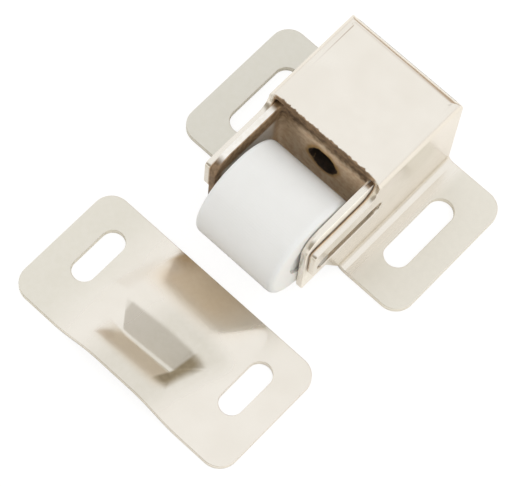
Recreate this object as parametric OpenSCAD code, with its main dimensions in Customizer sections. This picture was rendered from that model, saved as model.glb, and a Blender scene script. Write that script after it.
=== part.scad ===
// Sprung roller catch for a cabinet door, with its pressed strike plate.
// Millimetres, +Z away from the mounting surface, the roller facing -Y.
// The origin lies on the mounting surface, midway between the two screw slots of the catch.

/* [Housing] */
// Width over both screw flanges
overall_width = 40; // [38:0.5:46]
// Length of the flanges along the roller's travel
flange_depth = 22; // [20:0.5:26]
// Height of the housing above the mounting surface
housing_height = 18.2; // [17.6:0.1:22]
// Thickness of the housing sheet
sheet = 1; // [0.8:0.05:1.2]
// Length of the closed top, measured from the rear wall
top_depth = 16.2; // [14:0.1:18]
// Outside radius of the bends along the top
top_bend = 1.7; // [1.4:0.1:2.2]
// Inside radius of the bends between walls and flanges
flange_bend = 1; // [0.6:0.1:1.4]
// Corner radius of the flanges
flange_corner = 2.8; // [1.5:0.1:3.5]
// Height of the wall strip over the guide slot
guide_lip = 2.9; // [2:0.1:3.4]
// Radius of the fillet where the closed top steps down to the wall strip
step_fillet = 2.4; // [1:0.1:2.5]
// Material in front of and below the guide slot
guide_rim = 0.8; // [0.7:0.1:1.6]
// Corner radius of the wall's nose in front of the guide slot
nose_corner = 0.8; // [0.4:0.1:2]
// Distance between the end centres of the guide slot
guide_length = 9.9; // [8:0.1:11]
// Gap between the rear wall and the side walls
seam = 0.2; // [0.1:0.05:0.4]
// Gap between the rear wall's foot and the mounting surface
rear_foot = 0.6; // [0.4:0.1:1.2]

/* [Screw slots] */
// Width of the screw slots of the catch
screw_slot_width = 3.8; // [3.2:0.1:4.4]
// Length of the screw slots of the catch, end to end
screw_slot_length = 12.4; // [8:0.1:13]
// Distance between the two screw slots of the catch
screw_spacing = 28; // [27.5:0.1:30]

/* [Roller and axle] */
// Diameter of the roller
roller_diameter = 15.3; // [14:0.1:16]
// Length of the roller
roller_length = 14.2; // [12:0.1:15]
// Radius of the roller's rounded rims
roller_rim = 0.8; // [0.4:0.1:2.5]
// Diameter of the dished recess in each end of the roller
roller_dish = 8; // [6:0.1:10]
// Depth of the dished recess
roller_dish_depth = 0.4; // [0.2:0.1:0.8]
// Where the roller sits in its end play, from -1 on the left to 1 on the right
roller_set = 0.75; // [-0.8:0.05:0.8]
// Diameter of the axle
axle_diameter = 2.2; // [1.8:0.1:2.6]
// Chamfer on the ends of the axle
axle_chamfer = 0.25; // [0.1:0.05:0.4]
// How far the axle stands in front of the flanges
roller_reach = 4.1; // [3.5:0.1:5]

/* [Roller carrier] */
// Thickness of the carrier sheet
carrier_sheet = 1; // [0.8:0.05:1.2]
// Height of the carrier
carrier_height = 13.6; // [13:0.1:14]
// Height of the axle above the carrier's lower edge
axle_rise = 7.6; // [6.5:0.1:8]
// Outside radius of the carrier's bends
carrier_bend = 1.6; // [1.3:0.1:2.2]
// How far the cheeks stand in front of the axle
cheek_nose = 2.4; // [2.2:0.1:4.5]
// Radius of the upper nose corners of the cheeks
cheek_corner = 3; // [1.5:0.1:4]
// Radius of the lower nose corners of the cheeks
cheek_foot = 0.5; // [0.3:0.1:3]
// Gap between the roller and the carrier's web
web_gap = 2.7; // [2:0.1:4]
// Diameter of the hole in the web
web_hole = 4.2; // [3.4:0.1:5]
// Wall of the spring collar drawn from the web hole
collar_wall = 0.35; // [0.25:0.05:0.5]
// Length of the spring collar behind the web
collar_length = 1.4; // [0.8:0.1:2]

/* [Spring] */
// Diameter of the spring wire
wire = 0.7; // [0.5:0.05:0.8]
// Number of open turns of the spring
open_turns = 9; // [6:1:10]
// Number of closed turns at each end of the spring
closed_turns = 1; // [1:0.25:1.5]

/* [Strike plate] */
// Length of the strike plate
strike_length = 38; // [36:0.5:46]
// Width of the strike plate
strike_width = 19; // [17:0.5:24]
// Thickness of the strike sheet
strike_sheet = 1; // [0.8:0.05:1.2]
// Corner radius of the strike plate
strike_corner = 2.8; // [1.5:0.1:4]
// Width of the screw slots of the strike
strike_slot_width = 3.5; // [3.2:0.1:4]
// Length of the screw slots of the strike, end to end
strike_slot_length = 8.8; // [6:0.1:10]
// Distance between the two screw slots of the strike
strike_spacing = 26.6; // [26.6:0.1:30]
// Offset of the screw slots towards the lead-in edge
strike_slot_offset = 1.3; // [0:0.1:2]
// Length of the pressed middle of the strike
form_length = 22.4; // [20:0.1:22.4]
// Height of the pressed plateau
form_height = 2.6; // [2:0.1:3]
// Length of the level crown of the plateau
crown_length = 7; // [4:0.1:9]
// Length of the lead-in ramp
ramp_length = 7; // [5:0.1:8]
// Depth of the pocket that takes the roller
pocket_depth = 2.1; // [1:0.1:2.2]
// Length of the pocket's narrow floor
floor_length = 8.4; // [7:0.1:9]
// Width of the pocket's floor
floor_width = 1; // [0.4:0.1:1.4]
// Width of the pocket's sloping wall towards the lead-in edge
far_wall = 3.4; // [2.5:0.1:3.6]
// Width of the pocket's sloping wall on the other side
near_wall = 2.5; // [2:0.1:2.8]
// Length of the pocket's steep right end
right_wall = 1.9; // [1.5:0.1:3]
// Length of the pocket's gentle left end
left_wall = 3.7; // [2.5:0.1:3.8]
// Lean of the pocket's ends in plan, in degrees
end_lean = 17; // [0:1:20]
// How strongly the pocket's near wall curves up to its rim, 1 for straight
near_curve = 1.3; // [1:0.1:2]
// Offset of the pocket's floor away from the lead-in edge
pocket_offset = 3.85; // [3.5:0.05:4]
// Offset of the pocket along the strike
pocket_shift = 0.5; // [-0.8:0.1:0.8]
// Gap between the roller and the strike plate as they lie
strike_gap = 1.1; // [0.6:0.1:10]
// Sideways offset of the strike plate as it lies
strike_shift = -1; // [-1:0.1:1]

/* [Clearances] */
// Gap between each carrier cheek and the housing wall
slide_gap = 0.15; // [0.1:0.01:0.3]
// Gap between the roller's ends and the carrier cheeks
roller_end_gap = 0.4; // [0.2:0.01:0.5]
// Radial clearance of the roller on its axle
axle_gap = 0.08; // [0.03:0.01:0.1]
// Clearance of the axle above and below in the guide slots
guide_gap = 0.15; // [0.1:0.01:0.3]
// Clearance between the carrier and the closed top
carrier_top_gap = 1; // [0.5:0.1:1.5]
// How far the axle's ends stay inside the outer wall faces
axle_end_gap = 0.1; // [0:0.05:0.4]
// Radial clearance of the spring on its seats
spring_gap = 0.15; // [0.1:0.01:0.3]
// Gap between the spring's end turns and their seats
spring_end_gap = 0.05; // [0.03:0.01:0.2]

/* [Hidden] */
$fn = 64;
cut = 1;

// Across the housing, from the roller outwards
roller_half = roller_length / 2;
cheek_inner = roller_half + roller_end_gap;
cheek_outer = cheek_inner + carrier_sheet;
wall_inner = cheek_outer + slide_gap;
wall_outer = wall_inner + sheet;
flange_tip = overall_width / 2;

// Heights
top_inner = housing_height - sheet;
carrier_top = top_inner - carrier_top_gap;
carrier_bottom = carrier_top - carrier_height;
axle_z = carrier_bottom + axle_rise;
guide_r = axle_diameter / 2 + guide_gap;
guide_top = axle_z + guide_r;
wall_edge = guide_top + guide_lip;
nose_low = axle_z - guide_r - guide_rim;

// Along the travel, from the rear forwards
rear = flange_depth / 2;
front = -flange_depth / 2;
top_front = rear - top_depth;
axle_y = front - roller_reach;
roller_r = roller_diameter / 2;
wall_nose = axle_y - guide_r - guide_rim;
carrier_nose = axle_y - cheek_nose;
web_front = axle_y + roller_r + web_gap;
web_rear = web_front + carrier_sheet;
rear_inner = rear - sheet;
step_r = min(step_fillet, top_inner - wall_edge);

// Spring seats and coil
seat_r = web_hole / 2 + collar_wall;
coil_r = seat_r + spring_gap + wire / 2;
coil_start = web_rear + spring_end_gap + wire / 2;
coil_end = rear_inner - spring_end_gap - wire / 2;

// Strike plate, lying in front of the roller
strike_y = axle_y - roller_r - strike_gap - strike_width / 2;
form_half = form_length / 2;
lean_run = 3;

// A square spanning two opposite corners
module span(low, high) {
    translate(low) square(high - low);
}

// A rectangle with round corners, spanning two opposite corners
module round_span(low, high, r) {
    span(low + [r, 0], high - [r, 0]);
    span(low + [0, r], high - [0, r]);
    for (x = [low[0] + r, high[0] - r], y = [low[1] + r, high[1] - r])
        translate([x, y]) circle(r);
}

// Section of a right-angled sheet bend, centred on the bend's axis, in the first quadrant
module bend(r_inside, thickness) {
    intersection() {
        difference() {
            circle(r_inside + thickness);
            circle(r_inside);
        }
        square(r_inside + thickness);
    }
}

// A slot with round ends along Y, cut through from below
module slot(width, length, depth) {
    half_run = (length - width) / 2;
    for (y = [-half_run, half_run])
        translate([0, y, -cut]) cylinder(d = width, h = depth + 2 * cut);
    translate([-width / 2, -half_run, -cut]) cube([width, 2 * half_run, depth + 2 * cut]);
}

// Carries a section drawn in X and Z along Y, from the rear to the front
module along_y(from, to) {
    translate([0, from, 0]) rotate([90, 0, 0]) linear_extrude(from - to) children();
}

// Carries an outline drawn in Y and Z along X, over both sides
module along_x(half) {
    rotate([90, 0, 90]) translate([0, 0, -half]) linear_extrude(2 * half) children();
}

// Right half of the hat section: top, bend, wall, bend and flange
module hat_half() {
    span([0, top_inner], [wall_outer - top_bend, housing_height]);
    translate([wall_outer - top_bend, housing_height - top_bend]) bend(top_bend - sheet, sheet);
    span([wall_inner, sheet + flange_bend], [wall_outer, housing_height - top_bend]);
    translate([wall_outer + flange_bend, sheet + flange_bend]) rotate(180) bend(flange_bend, sheet);
    span([wall_outer + flange_bend, 0], [flange_tip, sheet]);
}

// Side outline of the housing: closed box, guide nose and the brace down to the flange
module housing_side() {
    span([top_front, 0], [rear, housing_height - top_bend]);
    span([top_front, 0], [rear - top_bend, housing_height]);
    translate([rear - top_bend, housing_height - top_bend]) circle(top_bend);
    round_span([wall_nose, nose_low], [top_front + 2 * nose_corner, wall_edge], nose_corner);
    difference() {
        span([top_front - step_r, wall_edge - cut], [top_front + cut, wall_edge + step_r]);
        translate([top_front - step_r, wall_edge + step_r]) circle(step_r);
    }
    polygon([[front, 0], [top_front + cut, 0], [top_front + cut, nose_low + nose_corner],
             [axle_y + nose_corner / 2, nose_low + nose_corner],
             [axle_y + nose_corner / 2, nose_low], [front, sheet]]);
}

// Plan outline of the housing: the flanges and the nose of the side walls
module housing_plan() {
    round_span([-flange_tip, front], [flange_tip, rear], flange_corner);
    span([-wall_outer, wall_nose - cut], [wall_outer, rear]);
}

// Rear wall, folded down from the top between the side walls
module rear_wall() {
    along_x(wall_inner - seam) {
        span([rear_inner, rear_foot], [rear, housing_height - top_bend]);
        translate([rear - top_bend, housing_height - top_bend]) bend(top_bend - sheet, sheet);
    }
}

// Spring seat pressed inwards from the rear wall
module rear_seat() {
    translate([0, rear_inner, axle_z]) rotate([90, 0, 0]) cylinder(r = seat_r, h = collar_length);
}

// Dimple that the seat leaves in the outside of the rear wall
module rear_dimple() {
    translate([0, rear + cut, axle_z]) rotate([90, 0, 0])
        cylinder(r = seat_r - sheet / 2, h = collar_length + sheet / 2 + cut);
}

// Guide slots through both side walls
module guide_slots() {
    along_x(wall_outer + cut) {
        for (y = [axle_y, axle_y + guide_length])
            translate([y, axle_z]) circle(guide_r);
        span([axle_y, axle_z - guide_r], [axle_y + guide_length, axle_z + guide_r]);
    }
}

module housing() {
    color("gainsboro")
    difference() {
        union() {
            intersection() {
                along_y(rear, wall_nose - cut) {
                    hat_half();
                    mirror([1, 0]) hat_half();
                }
                along_x(flange_tip + cut) housing_side();
                linear_extrude(housing_height + cut) housing_plan();
            }
            rear_wall();
            rear_seat();
        }
        rear_dimple();
        guide_slots();
        for (side = [-1, 1])
            translate([side * screw_spacing / 2, 0, 0])
                slot(screw_slot_width, screw_slot_length, sheet);
    }
}

// Right half of the carrier's plan section: web, bend and cheek
module carrier_half() {
    span([0, web_front], [cheek_outer - carrier_bend, web_rear]);
    translate([cheek_outer - carrier_bend, web_rear - carrier_bend])
        bend(carrier_bend - carrier_sheet, carrier_sheet);
    span([cheek_inner, carrier_nose], [cheek_outer, web_rear - carrier_bend]);
}

// Side outline of the carrier: the cheeks' noses are round above and nearly square below
module carrier_side() {
    span([carrier_nose + cheek_corner, carrier_bottom], [web_rear, carrier_top]);
    round_span([carrier_nose, carrier_bottom], [web_front, carrier_top], cheek_corner);
    round_span([carrier_nose, carrier_bottom], [web_front, carrier_top - cheek_corner], cheek_foot);
}

module roller_carrier() {
    color("silver")
    difference() {
        union() {
            intersection() {
                linear_extrude(carrier_top) {
                    carrier_half();
                    mirror([1, 0]) carrier_half();
                }
                along_x(cheek_outer + cut) carrier_side();
            }
            translate([0, web_rear + collar_length, axle_z]) rotate([90, 0, 0])
                cylinder(r = seat_r, h = collar_length + carrier_sheet / 2);
        }
        translate([0, web_rear + collar_length + cut, axle_z]) rotate([90, 0, 0])
            cylinder(d = web_hole, h = collar_length + carrier_sheet + 2 * cut);
        translate([-wall_outer, axle_y, axle_z]) rotate([0, 90, 0])
            cylinder(d = axle_diameter, h = 2 * wall_outer);
    }
}

// Half section of the roller: its bore, dished ends and rounded rims
module roller_section() {
    bore_r = axle_diameter / 2 + axle_gap;
    difference() {
        union() {
            span([bore_r, -roller_half], [roller_r - roller_rim, roller_half]);
            span([bore_r, roller_rim - roller_half], [roller_r, roller_half - roller_rim]);
            for (end = [-1, 1])
                translate([roller_r - roller_rim, end * (roller_half - roller_rim)])
                    circle(roller_rim);
        }
        for (end = [-1, 1])
            translate([0, end * roller_half])
                span([0, -roller_dish_depth], [roller_dish / 2, roller_dish_depth]);
    }
}

module roller() {
    color("white")
    translate([roller_set * roller_end_gap, axle_y, axle_z]) rotate([0, 90, 0])
        rotate_extrude() roller_section();
}

module axle() {
    half = wall_outer - axle_end_gap;
    r = axle_diameter / 2;
    color("lightslategray")
    translate([0, axle_y, axle_z]) rotate([0, 90, 0])
        rotate_extrude()
            polygon([[0, -half], [r - axle_chamfer, -half], [r, axle_chamfer - half],
                     [r, half - axle_chamfer], [r - axle_chamfer, half], [0, half]]);
}

// Travel of the coil along Y after a number of turns: closed at both ends, open between
function coil_travel(turn) =
    let (all_turns = open_turns + 2 * closed_turns,
         open_run = coil_end - coil_start - 2 * closed_turns * wire)
    turn < closed_turns ? turn * wire
    : turn > all_turns - closed_turns ? coil_end - coil_start - (all_turns - turn) * wire
    : closed_turns * wire + (turn - closed_turns) * open_run / open_turns;

// Compression spring swept along its helix
module spring() {
    sides = 8;
    steps = 20;
    rings = steps * (open_turns + 2 * closed_turns);
    points = [
        for (i = [0 : rings], k = [0 : sides - 1])
            let (turn = i / steps, around = 360 * turn, across = 360 * k / sides,
                 r = coil_r + wire / 2 * cos(across))
            [r * cos(around), coil_start + coil_travel(turn) + wire / 2 * sin(across), r * sin(around)]
    ];
    skin = [
        for (i = [0 : rings - 1], k = [0 : sides - 1])
            let (a = i * sides + k, b = i * sides + (k + 1) % sides)
            each [[a, b, a + sides], [b, b + sides, a + sides]]
    ];
    start_cap = [for (k = [sides - 1 : -1 : 0]) k];
    end_cap = [for (k = [0 : sides - 1]) rings * sides + k];
    color("dimgray")
    translate([0, 0, axle_z]) polyhedron(points, concat(skin, [start_cap, end_cap]));
}

// Smooth rise from 0 to 1
function smooth(t) = let (c = max(0, min(1, t))) c * c * (3 - 2 * c);

// Height of the pressed plateau over the plate: level crown, sloping ends and lead-in ramp
function plateau(u, v) =
    form_height
    * smooth((form_half - abs(u)) / (form_half - crown_length / 2))
    * min(1, max(0, (strike_width / 2 - v) / ramp_length));

// Depth of the pocket: level floor, straight far wall, near wall curving up, and leaning ends
function pocket(u, v) =
    let (across = v + pocket_offset,
         far = 1 - (across - floor_width / 2) / far_wall,
         near = 1 + (across + floor_width / 2) / near_wall,
         along = (u - pocket_shift) * cos(end_lean) - across * sin(end_lean),
         right = 1 - (along - floor_length / 2) / right_wall,
         left = 1 + (along + floor_length / 2) / left_wall)
    pocket_depth * min(1, max(0, min(far, right, left)), pow(max(0, near), near_curve));

// Sideways lean of the form's grid over the pocket, dying out towards the flat ends
function grid_lean(u, v) =
    tan(end_lean) * max(-near_wall, min(far_wall, v + pocket_offset))
    * min(1, (form_half - abs(u)) / lean_run);

// Pressed middle of the strike, as a sheet of even thickness over the height functions
module strike_form() {
    cells_u = 48;
    cells_v = 40;
    row = cells_u + 1;
    layer = row * (cells_v + 1);
    points = [
        for (top = [0, 1], j = [0 : cells_v], i = [0 : cells_u])
            let (straight = form_length * (i / cells_u - 0.5), v = strike_width * (j / cells_v - 0.5),
                 u = straight + grid_lean(straight, v))
            [u, v, plateau(u, v) - pocket(u, v) + top * strike_sheet]
    ];
    // The cells are split along the pocket's hips, which run out from its middle
    middle_u = cells_u * (0.5 + pocket_shift / form_length);
    middle_v = cells_v * (0.5 - pocket_offset / strike_width);
    faces = [
        for (j = [0 : cells_v - 1], i = [0 : cells_u - 1])
            let (a = j * row + i, b = a + layer)
            each (i - middle_u) * (j - middle_v) > 0
                ? [[a, a + 1, a + row + 1], [a, a + row + 1, a + row],
                   [b, b + row + 1, b + 1], [b, b + row, b + row + 1]]
                : [[a, a + 1, a + row], [a + 1, a + row + 1, a + row],
                   [b, b + row, b + 1], [b + 1, b + row, b + row + 1]]
    ];
    long_sides = [
        for (i = [0 : cells_u - 1])
            let (a = i, b = cells_v * row + i)
            each [[a, a + layer, a + 1], [a + 1, a + layer, a + layer + 1],
                  [b, b + 1, b + layer], [b + 1, b + layer + 1, b + layer]]
    ];
    short_sides = [
        for (j = [0 : cells_v - 1])
            let (a = j * row, b = a + cells_u)
            each [[a, a + row, a + layer], [a + row, a + row + layer, a + layer],
                  [b, b + layer, b + row], [b + row, b + layer, b + row + layer]]
    ];
    polyhedron(points, concat(faces, long_sides, short_sides));
}

// Flat ends of the strike with their screw slots
module strike_ends() {
    half = [strike_length, strike_width] / 2;
    difference() {
        linear_extrude(strike_sheet) round_span(-half, half, strike_corner);
        translate([-form_half, -strike_width, -cut])
            cube([form_length, 2 * strike_width, strike_sheet + 2 * cut]);
        for (side = [-1, 1])
            translate([side * strike_spacing / 2, strike_slot_offset, 0])
                slot(strike_slot_width, strike_slot_length, strike_sheet);
    }
}

module strike_plate() {
    color("whitesmoke")
    translate([strike_shift, strike_y, 0]) {
        strike_ends();
        strike_form();
    }
}

housing();
roller_carrier();
roller();
axle();
spring();
strike_plate();
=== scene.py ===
"""Looks of a sprung roller catch and its pressed strike plate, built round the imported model."""

import math

import bmesh
import bpy
from mathutils import Matrix, Vector


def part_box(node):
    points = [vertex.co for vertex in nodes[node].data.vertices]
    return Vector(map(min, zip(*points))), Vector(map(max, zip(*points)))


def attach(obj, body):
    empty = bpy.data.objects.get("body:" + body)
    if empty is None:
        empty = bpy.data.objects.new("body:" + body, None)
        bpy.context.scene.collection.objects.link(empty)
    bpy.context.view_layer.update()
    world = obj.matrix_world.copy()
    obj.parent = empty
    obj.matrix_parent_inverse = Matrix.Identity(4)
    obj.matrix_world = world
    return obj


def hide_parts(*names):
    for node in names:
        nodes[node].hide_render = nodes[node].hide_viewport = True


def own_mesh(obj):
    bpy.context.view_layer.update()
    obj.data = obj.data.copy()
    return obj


MM = 0.001
PHOTO_WIDTH = 531
SENSOR_WIDTH = 36.0

# Camera: the photograph's view, found from the straight edges of the catch
VIEW_AZIMUTH = math.radians(35.67)
VIEW_ELEVATION = math.radians(67.47)
VIEW_ROLL = math.radians(7.8)
VIEW_DISTANCE = 313 * MM
VIEW_AIM = Vector((1.56, -17.11, 6.0)) * MM
VIEW_FOCAL_PIXELS = 2400
VIEW_NEAREST = 10 * MM

# Surround in mirrors: a white ceiling that reaches farther down at the sides and stops short over the
# camera's end, above a low surround that is browner towards the rear
CEILING_SIDES = 0.75
CEILING_FRONT = 0.28
CEILING_EDGE = (0.4, 0.9)
SURROUND_TURN = (-0.4, 0.4)
SURROUND_FRONT = "#A0988A"
SURROUND_REAR = "#B49A7E"
WHITE = "#FFFFFF"

# Floor: just under the flanges, how white the camera sees it, and where the box covers it, in millimetres
FLOOR_SIZE = 4.0
FLOOR_DROP = 0.02 * MM
FLOOR_PAINT = "#F2EFEA"
FLOOR_GLOW = 1.08
FLOOR_GLOW_SHARE = 0.8
UNDER_BOX = [("side", 9.6, 8.6), ("y", -11.0, -9.0), ("y", 11.0, 10.0)]

# Lamps: soft squares aimed at the catch
LAMP_SIZE = 0.35
KEY_PLACE = Vector((0.25, 0.15, 0.5))
KEY_POWER = 0.65
FILL_PLACE = Vector((0.1, -0.22, 0.5))
FILL_POWER = 0.15

# Sockets of a Mix node that mixes colours
COLOUR_A = 6
COLOUR_B = 7
COLOUR_OUT = 2

# Nickel plate: clouds in the plating and its gloss, waves in the sheet, and a rolled grain along Y, drawn
# coarser than the real one so that it shows
PLATE_LIGHT = "#F3EEE5"
PLATE_DARK = "#E9E3D8"
PLATE_CLOUD = 4.55 * MM
PLATE_GLOSS = (0.18, 0.28)
PLATE_WAVE = 11.1 * MM
PLATE_WAVE_DEPTH = 0.02 * MM
PLATE_GRAIN = 0.667 * MM
PLATE_GRAIN_DEPTH = 0.0012 * MM
PLATE_GRAIN_STRETCH = (1.0, 0.06, 1.0)

# Painted shade, light and reflection, and some grime, on the plate: specks of its thick colour, how much it
# roughens, and the tears in its edges
SPECK_SIZE = 0.714 * MM
SPECK_EDGE = (0.3, 0.7)
GRIME_AND_SHADE_ROUGHNESS = 0.2
TEAR_SIZE = 1.43 * MM
TEAR_DEPTH = 1.6 * MM
BURR_SIZE = 0.455 * MM
BURR_DEPTH = 0.7 * MM
BURR_STRETCH = (1.0, 0.4, 1.0)

# Layers of painted shade, painted light and painted reflection, and of some grime, each over the one before.
# A layer has the limits of its zone, in millimetres along an axis from where it starts to where it is full,
# its thin and thick colours, and how far it hides the mirror
HOUSING_GRIME_AND_SHADE = {
    # painted shade: the left flange a little greyer than the top
    "left_flange_shade": ([("x", -9.8, -11.5)], "#DEDBD1", "#DCD9CE", 0.0),
    "right_flange": ([("x", 11.0, 13.0)], "#EBE7DC", "#E9E5DA", 0.0),
    # painted shade: the inside of the box a half-dull brown
    "inside": ([("side", 9.0, 8.7), ("z", 17.6, 17.3), ("y", 10.5, 10.1)], "#BFA07B", "#9C7F5F", 0.5),
    # painted shade and reflection of the dark inside on the top's front cut edge
    "top_lip_shade": ([("y", -5.0, -5.2), ("z", 16.9, 17.2), ("side", 9.0, 8.4)], "#B3946F", "#7C634A", 0.5),
    # the burred front edge of the top, its ragged band painted dark as shade
    "burr": ([("torn_y", -4.55, -4.75), ("z", 17.2, 17.6), ("side", 8.4, 7.4)], "#8F765A", "#6B553D", 0.6),
}
CARRIER_TINTS_SHADE_AND_LIGHT = {
    # painted light: the cheeks' outer faces a matte near-white, so the gaps beside the walls read light
    "lit_cheek_faces": ([("side", 8.35, 8.47)], "#F6F0E4", "#EDE6D8", 1.0),
    # painted reflection of the white roller on the left cheek's inner face
    "left_cheek_roller_reflection": ([("x", -7.2, -7.4), ("y", -5.8, -6.8)], "#F0EDE8", "#E6E2DA", 0.7),
    # painted reflection and shade: the web a matte warm brown in place of its mirror
    "web": ([("y", -6.4, -5.4), ("side", 7.9, 7.5)], "#F8E2C4", "#E2C4A0", 1.0),
    # painted shade in the gap between the left wall and the cheek
    "left_gap_shade": ([("x", -7.3, -7.4), ("x", -7.7, -7.6), ("z", 12.6, 13.6)], "#A68B6C", "#7C6346", 0.6),
    # painted shade: the web darker towards its left corner
    "left_corner_shade": ([("y", -6.4, -5.4), ("x", -2.5, -7.0), ("z", 8.0, 15.0)], "#A88C69", "#6E573E", 0.0),
    # painted shadow of the top along the web's upper part, torn by noise
    "under_top_shadow": ([("y", -5.4, -5.0), ("torn_z", 14.4, 16.0), ("side", 8.0, 7.4)], "#8F765A", "#5B4733", 0.6),
    # painted highlight: a yellowish glint in a ragged ring round the web's hole
    "hole_rim_glint": ([("y", -5.4, -5.0), ("torn_reach", 4.1, 3.4)], "#DDBB86", "#C49E68", 0.7),
    # painted shade: a ragged dark patch round the web's hole, wider than the hole
    "hole": ([("y", -5.4, -5.0), ("torn_reach", 3.4, 3.0)], "#3B2C1E", "#241A11", 0.8),
    "left_nose": ([("y", -15.2, -16.6), ("x", -7.0, -7.4)], "#8F765A", "#6B553D", 0.6),
}
STRIKE_PAINTED_SHADE_AND_REFLECTION = {
    # painted shade: the strike's left end a little greyer
    "left_end_shade": ([("along", -6.0, -15.0)], "#E6E2D7", "#E4E0D4", 0.0),
    # painted shade greying the crown of the pressed form
    "crown_shade": ([("across", 4.0, 1.0), ("lean", -6.0, 0.0), ("lean", 10.0, 6.0)],
                   "#E2DDD2", "#DFDACE", 0.0),
    # painted reflection: a warm brown tint on the lead-in ramp
    "ramp_reflection": ([("across", 1.5, 6.0), ("lean", -10.5, -6.0), ("lean", 7.0, -1.0)],
                  "#EDDCC3", "#EAD8BE", 0.0),
    # painted shade at the ramp's left start
    "ramp_corner_shade": ([("across", 6.0, 9.0), ("lean", -9.8, -9.0), ("lean", -5.0, -8.6)],
                    "#CEB796", "#C6AE8C", 0.0),
    # painted reflection: the pocket's near wall a brownish beige
    "near_wall": ([("across", -8.0, -6.0), ("across", -4.0, -4.5), ("lean", -6.0, -3.0), ("lean", 7.0, 5.0)],
                  "#D8CCB9", "#D5C9B6", 0.1),
    # painted shade: the pocket's right end darker
    "pocket_end_shade": ([("lean", 4.5, 5.0), ("lean", 7.2, 5.6), ("across", -7.0, -5.5), ("across", 0.3, -1.5)],
                    "#A89B82", "#9C8F76", 0.2),
}

# White nylon and drawn steel: their colours and the sizes of their clouds
NYLON_LIGHT = "#E8E7E4"
NYLON_DARK = "#E3E2DE"
NYLON_CLOUD = 3.33 * MM
NYLON_RIPPLE = 1.43 * MM
NYLON_RIPPLE_DEPTH = 0.01 * MM
STEEL_LIGHT = "#B9B5AE"
STEEL_DARK = "#9C978F"
STEEL_CLOUD = 1.11 * MM

# Sheet metal: thickness, and the edge that tumbling leaves on a stamping
SHEET = 1.0 * MM
EDGE_ROUND = 0.12 * MM
EDGE_STEPS = 3
EDGE_ANGLE = math.radians(40)
SMOOTH_ANGLE = math.radians(35)
FLAT_ANGLE = math.radians(0.5)
FLAT_WEIGHT = 100
WELD = 0.004 * MM

# Roller: play at its left end, rims, dished ends and the bore that runs on the axle
ROLLER_PLAY = 0.65 * MM
ROLLER_SIDES = 128
ROLLER_RIM = 0.8 * MM
ROLLER_RIM_STEPS = 8
ROLLER_DISH_RADIUS = 4.0 * MM
ROLLER_DISH_DEPTH = 0.4 * MM
ROLLER_BORE_RADIUS = 1.18 * MM

# Spring: wire and turns
WIRE = 0.7 * MM
WIRE_ROUNDNESS = 3
OPEN_TURNS = 9
CLOSED_TURNS = 1
STEPS_A_TURN = 32

# Strike plate: corners and slots, measured from the plate's centre
STRIKE_CORNER = 2.8 * MM
STRIKE_CORNER_STEPS = 12
STRIKE_SLOT_WIDTH = 3.5 * MM
STRIKE_SLOT_LENGTH = 8.8 * MM
STRIKE_SLOT_SPACING = 26.6 * MM
STRIKE_SLOT_OFFSET = 1.3 * MM
PUNCH_SIDES = 48
PUNCH_DEPTH = 6 * SHEET

# Strike plate's pressed form: plateau with sloping ends and a lead-in ramp
FORM_CELL = 0.15 * MM
FORM_LENGTH = 22.4 * MM
FORM_HEIGHT = 2.6 * MM
FORM_LEAN = 0.3
FORM_FALL = 0.05
SLOPE_RUN = 6.2 * MM
SLOPE_FLARE = 0.3
FOOT_SOFTNESS = 0.2
RAMP_LENGTH = 7.0 * MM
RAMP_SOFTNESS = 0.3

# Strike plate's pocket: floor, and the run, lean and softness of the walls round it
POCKET_DEPTH = 1.95 * MM
POCKET_OFFSET = 4.0 * MM
POCKET_SHIFT = 0.5 * MM
POCKET_SKEW = 0.06
POCKET_FLOOR_LENGTH = 8.4 * MM
POCKET_FLOOR_WIDTH = 0.4 * MM
FAR_WALL = 4.1 * MM
FAR_TAPER = 15.0
NEAR_WALL = 2.8 * MM
RIGHT_WALL = 2.6 * MM
RIGHT_LEAN = math.radians(17)
LEFT_WALL = 3.5 * MM
LEFT_LEAN = math.radians(9)
RIM_SOFTNESS = 0.12
NEAR_SOFTNESS = 0.5
LEFT_SOFTNESS = 0.4
HIP_SOFTNESS = 0.004
ROUND_SOFTNESS = 0.35

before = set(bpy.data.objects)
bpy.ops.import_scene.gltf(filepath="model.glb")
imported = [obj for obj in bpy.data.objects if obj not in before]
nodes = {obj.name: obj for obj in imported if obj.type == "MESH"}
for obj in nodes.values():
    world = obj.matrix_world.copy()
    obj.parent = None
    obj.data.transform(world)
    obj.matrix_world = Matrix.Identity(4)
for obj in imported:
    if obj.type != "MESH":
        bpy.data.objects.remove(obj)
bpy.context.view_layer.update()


def linear(hex_colour):
    """An sRGB hex colour as the linear RGBA that shaders take."""
    parts = [int(hex_colour[i : i + 2], 16) / 255 for i in (1, 3, 5)]
    return [p / 12.92 if p <= 0.04045 else ((p + 0.055) / 1.055) ** 2.4 for p in parts] + [1.0]


def add_node(tree, kind, inputs=None, **settings):
    """Adds a node, sets its properties, and sets or links its inputs by name or number."""
    made = tree.nodes.new(kind)
    for name, value in settings.items():
        setattr(made, name, value)
    for socket, value in (inputs or {}).items():
        if isinstance(value, bpy.types.NodeSocket):
            tree.links.new(value, made.inputs[socket])
        else:
            made.inputs[socket].default_value = value
    return made


def new_material(name):
    """An empty node material and its tree."""
    material = bpy.data.materials.new(name)
    material.use_nodes = True
    material.node_tree.nodes.clear()
    return material, material.node_tree


def zone(tree, axes, limits):
    """Where all limits hold: each has an axis, where along it the zone starts and where it is full."""
    amount = 1.0
    for axis, start, full in limits:
        edge = add_node(tree, "ShaderNodeMapRange", {
            "Value": axes[axis], "From Min": start * MM, "From Max": full * MM, "To Max": amount},
            interpolation_type="SMOOTHSTEP")
        amount = edge.outputs[0]
    return amount


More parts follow.
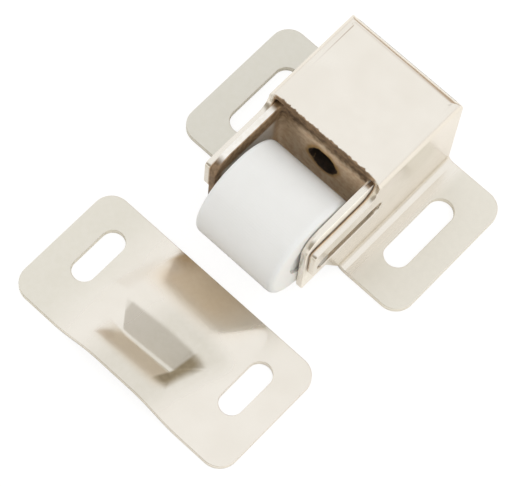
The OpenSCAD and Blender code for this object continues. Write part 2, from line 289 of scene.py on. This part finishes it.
def catch_axes(tree, place):
    """A point's x, y and z, and its distance to the side of the catch's middle."""
    axes = dict(zip("xyz", add_node(tree, "ShaderNodeSeparateXYZ", {0: place}).outputs))
    axes["side"] = add_node(tree, "ShaderNodeMath", {0: axes["x"]}, operation="ABSOLUTE").outputs[0]
    return axes


def housing_axes(tree, place):
    """The catch's axes, and y torn by fine noise for the burr and its painted shade on the top's front edge.
    """
    axes = catch_axes(tree, place)
    drawn_out = add_node(tree, "ShaderNodeMapping", {"Vector": place, "Scale": BURR_STRETCH}).outputs[0]
    tears = add_node(tree, "ShaderNodeTexNoise", {
        "Vector": drawn_out, "Scale": 1 / BURR_SIZE, "Detail": 4.0}).outputs["Fac"]
    axes["torn_y"] = add_node(tree, "ShaderNodeMath", {0: tears, 1: BURR_DEPTH, 2: axes["y"]},
                              operation="MULTIPLY_ADD").outputs[0]
    return axes


def carrier_axes(tree, place):
    """The catch's axes, and the height and the reach from the web's hole, both torn by noise."""
    axes = catch_axes(tree, place)
    axle_low, axle_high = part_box("axle")
    hole_height = (axle_low[2] + axle_high[2]) / 2
    from_hole = add_node(tree, "ShaderNodeMapping", {
        "Vector": place, "Location": (0, 0, -hole_height), "Scale": (1, 0, 1)}).outputs[0]
    reach = add_node(tree, "ShaderNodeVectorMath", {0: from_hole}, operation="LENGTH").outputs["Value"]
    tears = add_node(tree, "ShaderNodeTexNoise", {
        "Vector": place, "Scale": 1 / TEAR_SIZE, "Detail": 4.0}).outputs["Fac"]
    for name, value in (("torn_z", axes["z"]), ("torn_reach", reach)):
        axes[name] = add_node(tree, "ShaderNodeMath", {0: tears, 1: TEAR_DEPTH, 2: value},
                              operation="MULTIPLY_ADD").outputs[0]
    return axes


def strike_axes(tree, place):
    """Along and across the strike from its centre, and along it on lines that lean as its form does."""
    low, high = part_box("strike_plate")
    to_centre = (-(low[0] + high[0]) / 2, -(low[1] + high[1]) / 2, 0)
    centred = add_node(tree, "ShaderNodeMapping", {"Vector": place, "Location": to_centre}).outputs[0]
    axes = dict(zip(("along", "across"), add_node(tree, "ShaderNodeSeparateXYZ", {0: centred}).outputs))
    from_pocket = add_node(tree, "ShaderNodeMath", {0: axes["across"], 1: POCKET_OFFSET}, operation="ADD")
    axes["lean"] = add_node(tree, "ShaderNodeMath", {
        0: from_pocket.outputs[0], 1: -FORM_LEAN, 2: axes["along"]}, operation="MULTIPLY_ADD").outputs[0]
    return axes


def nickel_plate(name, find_axes, layers):
    """Bright nickel over rolled steel sheet: a warm white, soft mirror with a faint rolled grain.

    The layers over it, mostly painted shade, light and reflection with some grime, tint the plate, roughen it
    and hide its mirror."""
    material, tree = new_material(name)
    place = add_node(tree, "ShaderNodeTexCoord").outputs["Object"]
    axes = find_axes(tree, place)
    cloud = add_node(tree, "ShaderNodeTexNoise", {
        "Vector": place, "Scale": 1 / PLATE_CLOUD, "Detail": 3.0}).outputs["Fac"]
    tone = add_node(tree, "ShaderNodeMix", {
        0: cloud, COLOUR_A: linear(PLATE_LIGHT), COLOUR_B: linear(PLATE_DARK)},
        data_type="RGBA").outputs[COLOUR_OUT]
    gloss = add_node(tree, "ShaderNodeMapRange", {
        "Value": cloud, "To Min": PLATE_GLOSS[0], "To Max": PLATE_GLOSS[1]}).outputs[0]
    speck_noise = add_node(tree, "ShaderNodeTexNoise", {
        "Vector": place, "Scale": 1 / SPECK_SIZE, "Detail": 6.0}).outputs["Fac"]
    specks = add_node(tree, "ShaderNodeMapRange", {
        "Value": speck_noise, "From Min": SPECK_EDGE[0], "From Max": SPECK_EDGE[1]},
        interpolation_type="SMOOTHSTEP").outputs[0]
    metal = 1.0
    for limits, thin, thick, dullness in layers.values():
        amount = zone(tree, axes, limits)
        # each layer's tint, mostly painted shade, light or reflection, mottled by the specks
        grime_and_shade_tint = add_node(tree, "ShaderNodeMix", {
            0: specks, COLOUR_A: linear(thin), COLOUR_B: linear(thick)}, data_type="RGBA").outputs[COLOUR_OUT]
        tone = add_node(tree, "ShaderNodeMix", {0: amount, COLOUR_A: tone, COLOUR_B: grime_and_shade_tint},
                        data_type="RGBA").outputs[COLOUR_OUT]
        gloss = add_node(tree, "ShaderNodeMath", {0: amount, 1: GRIME_AND_SHADE_ROUGHNESS, 2: gloss},
                         operation="MULTIPLY_ADD").outputs[0]
        bare = add_node(tree, "ShaderNodeMath", {0: amount, 1: -dullness, 2: 1.0}, operation="MULTIPLY_ADD")
        metal = add_node(tree, "ShaderNodeMath", {0: metal, 1: bare.outputs[0]},
                         operation="MULTIPLY").outputs[0]
    wave = add_node(tree, "ShaderNodeTexNoise", {
        "Vector": place, "Scale": 1 / PLATE_WAVE, "Detail": 1.0}).outputs["Fac"]
    drawn_out = add_node(tree, "ShaderNodeMapping", {
        "Vector": place, "Scale": PLATE_GRAIN_STRETCH}).outputs[0]
    grain = add_node(tree, "ShaderNodeTexNoise", {
        "Vector": drawn_out, "Scale": 1 / PLATE_GRAIN, "Detail": 2.0}).outputs["Fac"]
    grooves = add_node(tree, "ShaderNodeMath", {0: grain, 1: PLATE_GRAIN_DEPTH}, operation="MULTIPLY")
    relief = add_node(tree, "ShaderNodeMath", {0: wave, 1: PLATE_WAVE_DEPTH, 2: grooves.outputs[0]},
                      operation="MULTIPLY_ADD")
    bump = add_node(tree, "ShaderNodeBump", {"Strength": 1.0, "Distance": 1.0, "Height": relief.outputs[0]})
    shader = add_node(tree, "ShaderNodeBsdfPrincipled", {
        "Base Color": tone, "Roughness": gloss, "Metallic": metal, "Normal": bump.outputs[0]})
    add_node(tree, "ShaderNodeOutputMaterial", {"Surface": shader.outputs[0]})
    return material


def white_nylon():
    """Moulded white nylon: a cool white with a soft sheen and a little light under the skin."""
    material, tree = new_material("white_nylon")
    place = add_node(tree, "ShaderNodeTexCoord").outputs["Object"]
    cloud = add_node(tree, "ShaderNodeTexNoise", {
        "Vector": place, "Scale": 1 / NYLON_CLOUD, "Detail": 2.0}).outputs["Fac"]
    tone = add_node(tree, "ShaderNodeMix", {
        0: cloud, COLOUR_A: linear(NYLON_LIGHT), COLOUR_B: linear(NYLON_DARK)},
        data_type="RGBA").outputs[COLOUR_OUT]
    ripple = add_node(tree, "ShaderNodeTexNoise", {
        "Vector": place, "Scale": 1 / NYLON_RIPPLE, "Detail": 3.0}).outputs["Fac"]
    bump = add_node(tree, "ShaderNodeBump", {
        "Strength": 0.4, "Distance": NYLON_RIPPLE_DEPTH, "Height": ripple})
    shader = add_node(tree, "ShaderNodeBsdfPrincipled", {
        "Base Color": tone, "Roughness": 0.42, "IOR": 1.53, "Normal": bump.outputs[0],
        "Subsurface Weight": 0.1, "Subsurface Scale": 0.6 * MM})
    add_node(tree, "ShaderNodeOutputMaterial", {"Surface": shader.outputs[0]})
    return material


def drawn_steel():
    """Drawn spring and pin steel: grey and faintly clouded, with a soft mirror."""
    material, tree = new_material("drawn_steel")
    place = add_node(tree, "ShaderNodeTexCoord").outputs["Object"]
    cloud = add_node(tree, "ShaderNodeTexNoise", {
        "Vector": place, "Scale": 1 / STEEL_CLOUD, "Detail": 3.0}).outputs["Fac"]
    tone = add_node(tree, "ShaderNodeMix", {
        0: cloud, COLOUR_A: linear(STEEL_LIGHT), COLOUR_B: linear(STEEL_DARK)},
        data_type="RGBA").outputs[COLOUR_OUT]
    shader = add_node(tree, "ShaderNodeBsdfPrincipled", {
        "Base Color": tone, "Roughness": 0.3, "Metallic": 1.0})
    add_node(tree, "ShaderNodeOutputMaterial", {"Surface": shader.outputs[0]})
    return material


def activate(piece):
    """Makes a piece the only selected object."""
    bpy.ops.object.select_all(action="DESELECT")
    piece.select_set(True)
    bpy.context.view_layer.objects.active = piece


def pick(piece, kind, test):
    """In edit mode, selects only the faces whose centre passes a test, or the edges whose ends both do."""
    bpy.ops.mesh.select_mode(type=kind)
    bpy.ops.mesh.select_all(action="DESELECT")
    bpy.ops.object.mode_set(mode="OBJECT")
    mesh = piece.data
    if kind == "FACE":
        for face in mesh.polygons:
            face.select = test(face.center)
    else:
        for edge in mesh.edges:
            edge.select = all(test(mesh.vertices[i].co) for i in edge.vertices)
    bpy.ops.object.mode_set(mode="EDIT")


def smooth_shade(piece):
    """Smooth shading that keeps the sharp edges, and keeps large flat faces flat."""
    activate(piece)
    bpy.ops.object.shade_smooth_by_angle(angle=SMOOTH_ANGLE)
    flat = piece.modifiers.new("flat_faces", "WEIGHTED_NORMAL")
    flat.weight = FLAT_WEIGHT
    flat.keep_sharp = True
    bpy.ops.object.modifier_apply(modifier=flat.name)


def round_edges(piece):
    """Rounds the sharp outer edges of a sheet-metal piece and applies the result."""
    activate(piece)
    work = bmesh.new()
    work.from_mesh(piece.data)
    weight = work.edges.layers.float.new("bevel_weight_edge")
    for edge in work.edges:
        edge[weight] = float(edge.is_convex and edge.calc_face_angle(0) > EDGE_ANGLE)
    work.to_mesh(piece.data)
    work.free()
    bevel = piece.modifiers.new("edge_round", "BEVEL")
    bevel.width = EDGE_ROUND
    bevel.segments = EDGE_STEPS
    bevel.limit_method = "WEIGHT"
    bevel.use_clamp_overlap = False
    bevel.loop_slide = False
    bpy.ops.object.modifier_apply(modifier=bevel.name)
    smooth_shade(piece)


def hand_over(piece, node, body, material):
    """Gives a finished piece its finish, its body and the CAD node it stands for."""
    piece.data.materials.clear()
    piece.data.materials.append(material)
    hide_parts(node)
    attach(piece, body)


def stamping(node):
    """A copy of a packed metal piece: merged, its flat faces joined up and its raw edges rounded."""
    piece = nodes[node].copy()
    piece.data = nodes[node].data.copy()
    piece.parent = None
    piece.matrix_world = Matrix.Identity(4)
    piece.name = node + "_sheet"
    bpy.context.scene.collection.objects.link(piece)
    activate(piece)
    bpy.ops.object.mode_set(mode="EDIT")
    bpy.ops.mesh.select_all(action="SELECT")
    bpy.ops.mesh.remove_doubles(threshold=WELD)
    bpy.ops.mesh.beautify_fill(angle_limit=FLAT_ANGLE)
    bpy.ops.mesh.dissolve_limited(angle_limit=FLAT_ANGLE)
    bpy.ops.object.mode_set(mode="OBJECT")
    round_edges(piece)
    return piece


def make_roller():
    """The moulded roller: rounded rims, a dished end on both sides and a bore through."""
    low, high = (Vector(corner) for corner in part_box("roller"))
    low.x += ROLLER_PLAY
    middle = (low + high) / 2
    half, radius = (high.x - low.x) / 2, (high.z - low.z) / 2

    def at_end(place):
        """Whether a place is on one of the roller's end faces."""
        return min(abs(place.x - low.x), abs(place.x - high.x)) < WELD

    bpy.ops.object.select_all(action="DESELECT")
    bpy.ops.mesh.primitive_cylinder_add(vertices=ROLLER_SIDES, radius=radius, depth=2 * half, location=middle,
                                        rotation=(0, math.radians(90), 0))
    roller = bpy.context.object
    roller.name = "nylon_roller"
    bpy.ops.object.transform_apply(location=True, rotation=True, scale=True)
    bpy.ops.object.mode_set(mode="EDIT")
    pick(roller, "EDGE", at_end)
    bpy.ops.mesh.bevel(offset=ROLLER_RIM, segments=ROLLER_RIM_STEPS, profile=0.5)
    pick(roller, "FACE", at_end)
    bpy.ops.mesh.inset(thickness=radius - ROLLER_RIM - ROLLER_DISH_RADIUS)
    bpy.ops.mesh.inset(thickness=ROLLER_DISH_DEPTH / 2, depth=-ROLLER_DISH_DEPTH)
    bpy.ops.mesh.inset(thickness=ROLLER_DISH_RADIUS - ROLLER_DISH_DEPTH / 2 - ROLLER_BORE_RADIUS)
    bpy.ops.mesh.bridge_edge_loops()
    bpy.ops.mesh.select_all(action="SELECT")
    bpy.ops.mesh.normals_make_consistent(inside=False)
    bpy.ops.object.mode_set(mode="OBJECT")
    smooth_shade(roller)
    return roller


def make_spring():
    """The compression spring: wire along a helix, with closed turns at both ends."""
    low, high = (Vector(corner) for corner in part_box("spring"))
    centre = (low + high) / 2
    coil = (high.z - low.z - WIRE) / 2
    start, end = low.y + WIRE / 2, high.y - WIRE / 2
    turns = OPEN_TURNS + 2 * CLOSED_TURNS
    pitch = (end - start - 2 * CLOSED_TURNS * WIRE) / OPEN_TURNS
    curve = bpy.data.curves.new("spring_wire", "CURVE")
    curve.dimensions = "3D"
    curve.bevel_depth = WIRE / 2
    curve.bevel_resolution = WIRE_ROUNDNESS
    curve.use_fill_caps = True
    line = curve.splines.new("POLY")
    line.points.add(turns * STEPS_A_TURN)
    for i, point in enumerate(line.points):
        turn = i / STEPS_A_TURN
        opened = min(max(turn - CLOSED_TURNS, 0), OPEN_TURNS)
        risen = opened * pitch + (turn - opened) * WIRE
        angle = 2 * math.pi * turn
        point.co = (centre.x + coil * math.cos(angle), start + risen, centre.z + coil * math.sin(angle), 1)
    spring = bpy.data.objects.new("spring_coil", curve)
    bpy.context.scene.collection.objects.link(spring)
    activate(spring)
    bpy.ops.object.convert(target="MESH")
    spring = bpy.context.object
    smooth_shade(spring)
    return spring


def soft_max(a, b, softness):
    """The larger of two values, rounded where they meet."""
    gap = max(softness - abs(a - b), 0)
    return max(a, b) + gap * gap / (4 * softness)


def ease(t):
    """A smooth rise from 0 to 1."""
    t = min(max(t, 0), 1)
    return t * t * (3 - 2 * t)


def form_height(u, v, half_width):
    """Height of the strike's underside: plateau with its lead-in ramp, less the hipped pocket."""
    run = SLOPE_RUN + SLOPE_FLARE * max(-v - POCKET_OFFSET, 0)
    rise = min(FORM_LENGTH / 2 + u - FORM_LEAN * max(v, 0), FORM_LENGTH / 2 - u) / run
    foot = soft_max(0, (rise - FOOT_SOFTNESS) / (1 - FOOT_SOFTNESS), FOOT_SOFTNESS)
    rise = (min(foot, 1) + ease(rise)) / 2
    lead_in = -soft_max(-1.0, (v - half_width) / RAMP_LENGTH, RAMP_SOFTNESS)
    plateau = (FORM_HEIGHT - FORM_FALL * max(-v, 0)) * -soft_max(-rise, -lead_in, RAMP_SOFTNESS)
    along = u - POCKET_SHIFT
    across = v + POCKET_OFFSET - POCKET_SKEW * along
    half_floor = POCKET_FLOOR_LENGTH / 2
    far = 1 - (across - POCKET_FLOOR_WIDTH / 2) / (FAR_WALL - FAR_TAPER * max(u, 0) ** 2)
    near = soft_max(0, 1 + (across + POCKET_FLOOR_WIDTH / 2) / NEAR_WALL, NEAR_SOFTNESS)
    right = 1 - (along * math.cos(RIGHT_LEAN) - across * math.sin(RIGHT_LEAN) - half_floor) / RIGHT_WALL
    left = 1 + (along * math.cos(LEFT_LEAN) - across * math.sin(LEFT_LEAN) + half_floor) / LEFT_WALL
    depth = soft_max(-near, -soft_max(0, left, LEFT_SOFTNESS), ROUND_SOFTNESS)
    for wall in (1, far, right):
        depth = soft_max(depth, -wall, HIP_SOFTNESS)
    sunk = soft_max(0, (-depth - RIM_SOFTNESS) / (1 - RIM_SOFTNESS), RIM_SOFTNESS)
    return max(0, plateau) - POCKET_DEPTH * sunk


def make_slot_punch(place):
    """A stadium-shaped punch along Y."""
    bpy.ops.object.select_all(action="DESELECT")
    bpy.ops.mesh.primitive_cylinder_add(vertices=PUNCH_SIDES, radius=STRIKE_SLOT_WIDTH / 2, depth=PUNCH_DEPTH,
                                        location=place)
    punch = bpy.context.object
    bpy.ops.object.transform_apply(location=True, rotation=True, scale=True)
    stretch = (STRIKE_SLOT_LENGTH - STRIKE_SLOT_WIDTH) / 2
    for vertex in punch.data.vertices:
        vertex.co.y += math.copysign(stretch, vertex.co.y - place.y + WELD / 10)
    return punch


def add_flat_ends(strike, length, width):
    """Joins a flat face with two rounded corners to each end of the formed middle."""
    work = bmesh.new()
    work.from_mesh(strike.data)
    for side in (-1, 1):
        seam = [vertex for vertex in work.verts if abs(vertex.co.x - side * FORM_LENGTH / 2) < WELD]
        seam.sort(key=lambda vertex: vertex.co.y)
        corners = [work.verts.new((side * length / 2, y, 0)) for y in (width / 2, -width / 2)]
        work.faces.new(seam + corners)
        bmesh.ops.bevel(work, geom=corners, offset=STRIKE_CORNER, segments=STRIKE_CORNER_STEPS, profile=0.5,
                        affect="VERTICES")
    work.to_mesh(strike.data)
    work.free()


def make_strike():
    """The pressed strike: a formed middle, flat ends with rounded corners, and punched slots."""
    low, high = (Vector(corner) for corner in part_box("strike_plate"))
    centre = Vector(((low.x + high.x) / 2, (low.y + high.y) / 2, 0))
    length, width = high.x - low.x, high.y - low.y
    bpy.ops.object.select_all(action="DESELECT")
    bpy.ops.mesh.primitive_grid_add(x_subdivisions=round(FORM_LENGTH / FORM_CELL),
                                    y_subdivisions=round(width / FORM_CELL), size=1)
    strike = bpy.context.object
    strike.name = "strike_pressing"
    strike.scale = (FORM_LENGTH, width, 1)
    bpy.ops.object.transform_apply(location=True, rotation=True, scale=True)
    for vertex in strike.data.vertices:
        vertex.co.z = form_height(vertex.co.x, vertex.co.y, width / 2)
    add_flat_ends(strike, length, width)
    bpy.ops.object.mode_set(mode="EDIT")
    bpy.ops.mesh.select_all(action="SELECT")
    bpy.ops.mesh.extrude_region_move(TRANSFORM_OT_translate={"value": (0, 0, SHEET)})
    bpy.ops.mesh.select_all(action="SELECT")
    bpy.ops.mesh.normals_make_consistent(inside=False)
    bpy.ops.object.mode_set(mode="OBJECT")
    for side in (-1, 1):
        punch = make_slot_punch(Vector((side * STRIKE_SLOT_SPACING / 2, STRIKE_SLOT_OFFSET, 0)))
        activate(strike)
        cut = strike.modifiers.new("slot", "BOOLEAN")
        cut.operation = "DIFFERENCE"
        cut.object = punch
        bpy.ops.object.modifier_apply(modifier=cut.name)
        bpy.data.objects.remove(punch)
    strike.location = centre
    activate(strike)
    bpy.ops.object.transform_apply(location=True, rotation=True, scale=True)
    round_edges(strike)
    return strike


def make_camera():
    """The photograph's camera: aimed at a point, then rolled about its own line of sight."""
    back = Vector((math.sin(VIEW_AZIMUTH) * math.cos(VIEW_ELEVATION),
                   -math.cos(VIEW_AZIMUTH) * math.cos(VIEW_ELEVATION), math.sin(VIEW_ELEVATION)))
    turn = (-back).to_track_quat("-Z", "Y").to_matrix() @ Matrix.Rotation(VIEW_ROLL, 3, "Z")
    camera = bpy.data.objects.new("camera", bpy.data.cameras.new("camera"))
    camera.matrix_world = Matrix.Translation(VIEW_AIM + back * VIEW_DISTANCE) @ turn.to_4x4()
    camera.data.sensor_width = SENSOR_WIDTH
    camera.data.lens = VIEW_FOCAL_PIXELS / PHOTO_WIDTH * SENSOR_WIDTH
    camera.data.clip_start = VIEW_NEAREST
    bpy.context.scene.collection.objects.link(camera)
    bpy.context.scene.camera = camera


def seen_straight(tree):
    """1 where the camera looks at something, also through something clear, and else 0."""
    path = add_node(tree, "ShaderNodeLightPath").outputs
    return add_node(tree, "ShaderNodeMath", {0: path["Is Camera Ray"], 1: path["Is Transmission Ray"]},
                    operation="MAXIMUM").outputs[0]


def make_world():
    """White for the camera and glass, a white ceiling over a warm surround in mirrors, and plain light."""
    world = bpy.data.worlds.new("studio")
    world.use_nodes = True
    bpy.context.scene.world = world
    tree = world.node_tree
    tree.nodes.clear()
    way = add_node(tree, "ShaderNodeTexCoord").outputs["Generated"]
    x, y, z = add_node(tree, "ShaderNodeSeparateXYZ", {0: way}).outputs
    sides = add_node(tree, "ShaderNodeMath", {0: x}, operation="ABSOLUTE").outputs[0]
    front = add_node(tree, "ShaderNodeMath", {0: y, 1: 0.0}, operation="MINIMUM").outputs[0]
    ceiling = z
    for way_out, reach in ((sides, CEILING_SIDES), (front, CEILING_FRONT)):
        ceiling = add_node(tree, "ShaderNodeMath", {0: way_out, 1: reach, 2: ceiling},
                           operation="MULTIPLY_ADD").outputs[0]
    rear_share = add_node(tree, "ShaderNodeMapRange", {
        "Value": y, "From Min": SURROUND_TURN[0], "From Max": SURROUND_TURN[1]},
        interpolation_type="SMOOTHSTEP").outputs[0]
    low = add_node(tree, "ShaderNodeMix", {
        0: rear_share, COLOUR_A: linear(SURROUND_FRONT), COLOUR_B: linear(SURROUND_REAR)},
        data_type="RGBA").outputs[COLOUR_OUT]
    ceiling_share = add_node(tree, "ShaderNodeMapRange", {
        "Value": ceiling, "From Min": CEILING_EDGE[0], "From Max": CEILING_EDGE[1]},
        interpolation_type="SMOOTHSTEP").outputs[0]
    surround = add_node(tree, "ShaderNodeMix", {0: ceiling_share, COLOUR_A: low, COLOUR_B: linear(WHITE)},
                        data_type="RGBA").outputs[COLOUR_OUT]
    seen = seen_straight(tree)
    picture = add_node(tree, "ShaderNodeMix", {0: seen, COLOUR_A: surround, COLOUR_B: linear(WHITE)},
                       data_type="RGBA").outputs[COLOUR_OUT]
    light = add_node(tree, "ShaderNodeBackground", {"Color": linear(WHITE), "Strength": 1.0})
    shown = add_node(tree, "ShaderNodeBackground", {"Color": picture, "Strength": 1.0})
    mirrored = add_node(tree, "ShaderNodeLightPath").outputs["Is Glossy Ray"]
    either = add_node(tree, "ShaderNodeMath", {0: seen, 1: mirrored}, operation="MAXIMUM").outputs[0]
    mixed = add_node(tree, "ShaderNodeMixShader", {0: either, 1: light.outputs[0], 2: shown.outputs[0]})
    add_node(tree, "ShaderNodeOutputWorld", {"Surface": mixed.outputs[0]})


def make_floor():
    """A plain pale floor under the flanges, lit up to white where the camera sees it outside the box."""
    bpy.ops.object.select_all(action="DESELECT")
    bpy.ops.mesh.primitive_plane_add(size=FLOOR_SIZE, location=(0, 0, -FLOOR_DROP))
    floor = bpy.context.object
    floor.name = "floor"
    material, tree = new_material("pale_floor")
    place = add_node(tree, "ShaderNodeTexCoord").outputs["Object"]
    covered = zone(tree, catch_axes(tree, place), UNDER_BOX)
    glow = add_node(tree, "ShaderNodeMapRange", {
        "Value": covered, "To Min": FLOOR_GLOW_SHARE, "To Max": 0.0}).outputs[0]
    amount = add_node(tree, "ShaderNodeMath", {0: seen_straight(tree), 1: glow},
                      operation="MULTIPLY").outputs[0]
    paint = add_node(tree, "ShaderNodeBsdfDiffuse", {"Color": linear(FLOOR_PAINT)})
    white = add_node(tree, "ShaderNodeEmission", {"Color": linear(WHITE), "Strength": FLOOR_GLOW})
    mixed = add_node(tree, "ShaderNodeMixShader", {0: amount, 1: paint.outputs[0], 2: white.outputs[0]})
    add_node(tree, "ShaderNodeOutputMaterial", {"Surface": mixed.outputs[0]})
    floor.data.materials.append(material)


def make_lamp(name, place, power):
    """A soft square lamp, aimed at the middle of the view and left out of mirrors."""
    lamp = bpy.data.objects.new(name, bpy.data.lights.new(name, "AREA"))
    lamp.data.size = LAMP_SIZE
    lamp.data.energy = power
    lamp.visible_glossy = False
    turn = (VIEW_AIM - place).to_track_quat("-Z", "Y").to_matrix()
    lamp.matrix_world = Matrix.Translation(place) @ turn.to_4x4()
    bpy.context.scene.collection.objects.link(lamp)


bpy.context.scene.view_settings.view_transform = "Standard"
make_camera()
make_world()
make_floor()
make_lamp("key", KEY_PLACE, KEY_POWER)
make_lamp("fill", FILL_PLACE, FILL_POWER)

nylon = white_nylon()
steel = drawn_steel()
hand_over(stamping("housing"), "housing", "housing",
          nickel_plate("nickel_plate_housing", housing_axes, HOUSING_GRIME_AND_SHADE))
hand_over(stamping("roller_carrier"), "roller_carrier", "carrier",
          nickel_plate("nickel_plate_carrier", carrier_axes, CARRIER_TINTS_SHADE_AND_LIGHT))
hand_over(make_strike(), "strike_plate", "housing",
          nickel_plate("nickel_plate_strike", strike_axes, STRIKE_PAINTED_SHADE_AND_REFLECTION))
hand_over(make_roller(), "roller", "roller", nylon)
hand_over(stamping("axle"), "axle", "carrier", steel)
spring = make_spring()
hand_over(spring, "spring", "housing", steel)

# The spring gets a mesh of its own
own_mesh(spring)
